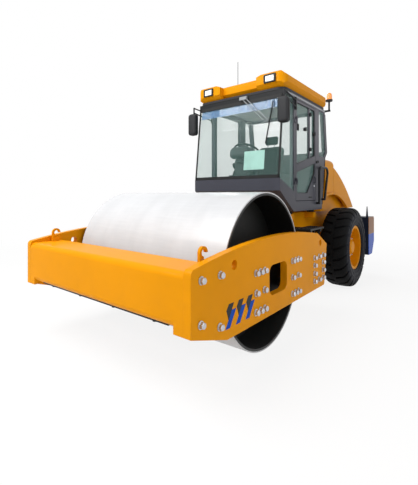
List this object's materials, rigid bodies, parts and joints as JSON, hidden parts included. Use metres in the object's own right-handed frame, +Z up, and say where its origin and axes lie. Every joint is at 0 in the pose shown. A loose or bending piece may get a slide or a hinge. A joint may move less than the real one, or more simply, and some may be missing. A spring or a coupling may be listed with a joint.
{
  "type": "road roller",
  "caption": "Articulated soil compactor with one smooth steel drum in a front frame, a closed cab, a sloping engine hood and two lugged rear tyres",
  "frame": {"origin": "on the ground under the middle of the length and width", "axes": "+X forward over the drum, +Y to the machine's left, +Z up"},
  "size_m": [6.2, 2.43, 3.713],
  "materials": {
    "yellow_paint": "gloss paint",
    "grey_paint": "satin paint",
    "black_paint": "satin paint",
    "drum_paint": "gloss paint",
    "rubber": "matt",
    "tyre": "matt",
    "rod_chrome": "polished",
    "glass": "clear",
    "black_plastic": "matt",
    "seat_cover": "woven",
    "amber_lens": "clear amber",
    "red_lens": "clear red",
    "clear_lens": "clear"
  },
  "bodies": {
    "chassis": {"rear_frame": "yellow_paint", "rear_axle": "black_paint", "engine": "black_paint", "counterweight": "grey_paint", "tail_lamps": "red_lens", "cowl": "yellow_paint", "steering_barrels": "black_paint", "cab_base": "grey_paint", "cab_frame": "grey_paint", "cab_roof": "yellow_paint", "roof_trim": "black_plastic", "roof_lamps": "clear_lens", "windscreen": "glass", "quarter_glass": "glass", "side_glass": "glass", "rear_glass": "glass", "seat": "seat_cover", "console": "black_plastic", "steering_wheel": "black_plastic", "wiper": "black_paint", "mirrors": "black_plastic", "beacon": "amber_lens", "antenna": "black_plastic", "handrails": "black_paint", "steps": "black_paint", "cab_mounts": "rubber"},
    "front": {"side_plate_left": "yellow_paint", "side_plate_right": "yellow_paint", "front_beam": "yellow_paint", "rear_beam": "yellow_paint", "scrapers": "black_paint", "drum_carriers": "black_paint", "drum_dampers": "rubber", "hitch": "yellow_paint"},
    "drum": {"drum": "drum_paint"},
    "rod_left": {"steering_rod_left": "rod_chrome"},
    "rod_right": {"steering_rod_right": "rod_chrome"},
    "door": {"door": "grey_paint", "door_glass": "glass"},
    "hood": {"hood": "yellow_paint", "hood_grilles": "black_paint"},
    "wheel_left": {"rim_left": "yellow_paint", "tyre_left": "tyre"},
    "wheel_right": {"rim_right": "yellow_paint", "tyre_right": "tyre"}
  },
  "joints": [
    {"name": "steering", "type": "hinge", "parent": "chassis", "child": "front", "pos_m": [0.1, 0, 0.68], "axis": [0, 0, 1], "range_deg": [-33, 33]},
    {"name": "drum_spin", "type": "hinge", "parent": "front", "child": "drum", "pos_m": [1.7, 0, 0.8], "axis": [0, 1, 0], "continuous": true},
    {"name": "wheel_left_spin", "type": "hinge", "parent": "chassis", "child": "wheel_left", "pos_m": [-1.46, 0.915, 0.675], "axis": [0, 1, 0], "continuous": true},
    {"name": "wheel_right_spin", "type": "hinge", "parent": "chassis", "child": "wheel_right", "pos_m": [-1.46, -0.915, 0.675], "axis": [0, 1, 0], "continuous": true},
    {"name": "rod_left_slide", "type": "slide", "parent": "chassis", "child": "rod_left", "axis": [1, 0, 0], "range_m": [-0.165, 0.165]},
    {"name": "rod_right_slide", "type": "slide", "parent": "chassis", "child": "rod_right", "axis": [1, 0, 0], "range_m": [-0.165, 0.165]},
    {"name": "door_swing", "type": "hinge", "parent": "chassis", "child": "door", "pos_m": [0.137, 0.736, 2.2], "axis": [0, 0, -1], "range_deg": [0, 85]},
    {"name": "hood_tilt", "type": "hinge", "parent": "chassis", "child": "hood", "pos_m": [-2.9, 0, 1.255], "axis": [0, -1, 0], "range_deg": [0, 50]}
  ],
  "couplings": [
    {"joint": "rod_left_slide", "follows": "steering", "m_per_rad": -0.2836},
    {"joint": "rod_right_slide", "follows": "steering", "m_per_rad": 0.2836}
  ]
}
